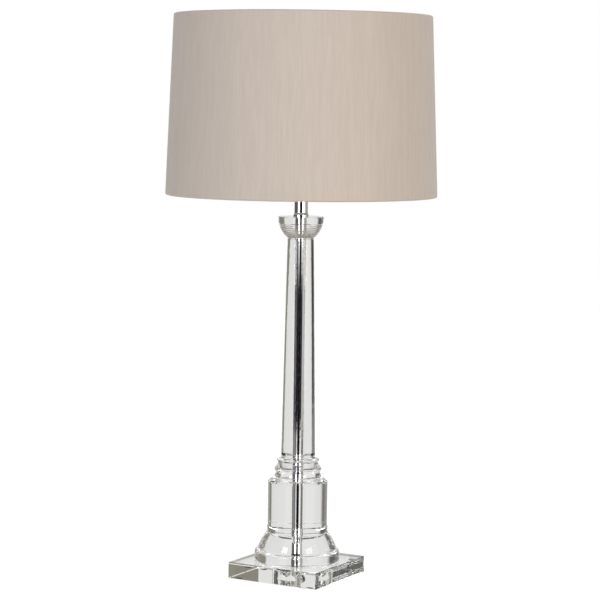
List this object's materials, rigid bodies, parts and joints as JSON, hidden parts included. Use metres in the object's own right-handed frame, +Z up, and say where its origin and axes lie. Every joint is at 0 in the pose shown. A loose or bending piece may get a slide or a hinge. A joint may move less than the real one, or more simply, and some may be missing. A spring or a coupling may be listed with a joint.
{
  "type": "candlestick table lamp",
  "caption": "Table lamp: turned clear crystal blocks on a square plinth, clamped by a hollow rod in a chrome sleeve, with a chrome neck, switched lampholder and tapered drum shade.",
  "frame": {"origin": "on the table, under the middle of the lamp, at the underside of the feet", "axes": "+Z up along the rod; -Y is the plinth's front face; +Y is the back, where the flex leaves; +X is right seen from the front"},
  "size_m": [0.4058, 0.4056, 0.8452],
  "materials": {
    "crystal": "clear polished crystal, ground edges",
    "clear_plastic": "clear soft plastic",
    "chrome": "bright chrome plate",
    "zinc_steel": "zinc plated",
    "black_rubber": "matt",
    "ceramic": "unglazed steatite",
    "contact_brass": "bright",
    "switch_black": "satin",
    "silk": "taupe slub silk",
    "shade_lining": "white, laminated behind the silk",
    "white_wire": "white powder coat",
    "opal_glass": "opal white",
    "bulb_plastic": "satin white",
    "bulb_nickel": "nickel plated",
    "bulb_black": "black glass"
  },
  "bodies": {
    "lamp_base": {"foot_pads": "clear_plastic", "plinth": "crystal", "flex_grommet": "clear_plastic", "bottom_gasket": "black_rubber", "bottom_washer": "zinc_steel", "spring_washer": "zinc_steel", "bottom_nut": "zinc_steel", "threaded_rod": "zinc_steel", "rod_sleeve": "chrome", "joint_washers": "clear_plastic", "bell_base": "crystal", "pedestal_drum": "crystal", "ribbed_collar": "crystal", "column": "crystal", "capital_cup": "crystal", "neck_washer": "chrome", "stack_nut": "zinc_steel", "neck_tube": "chrome", "neck_cap": "chrome", "holder_cap": "chrome", "lock_screw": "zinc_steel", "holder_insert": "ceramic", "screw_shell": "contact_brass", "centre_contact": "contact_brass", "terminal_screws": "contact_brass", "switch_block": "switch_black", "holder_skirt": "chrome", "lower_shade_ring": "chrome"},
    "switch": {"switch_bar": "switch_black"},
    "top_ring": {"upper_shade_ring": "chrome"},
    "bulb": {"bulb_contact": "bulb_nickel", "bulb_insulator": "bulb_black", "bulb_cap": "bulb_nickel", "bulb_body": "bulb_plastic", "bulb_globe": "opal_glass"},
    "shade": {"shade_fabric": "silk", "shade_liner": "shade_lining", "shade_top_ring": "white_wire", "shade_bottom_ring": "white_wire", "carrier_ring": "white_wire", "carrier_arms": "white_wire"}
  },
  "joints": [
    {"name": "shade_turn", "type": "hinge", "parent": "lamp_base", "child": "shade", "pos_m": [0, 0, 0.62815], "axis": [0, 0, 1], "continuous": true},
    {"name": "ring_unscrew", "type": "slide", "parent": "lamp_base", "child": "top_ring", "axis": [0, 0, 1], "range_m": [0, 0.012]},
    {"name": "bulb_unscrew", "type": "slide", "parent": "lamp_base", "child": "bulb", "axis": [0, 0, 1], "range_m": [0, 0.032]},
    {"name": "switch_push", "type": "slide", "parent": "lamp_base", "child": "switch", "axis": [1, 0, 0], "range_m": [0, 0.007]}
  ]
}
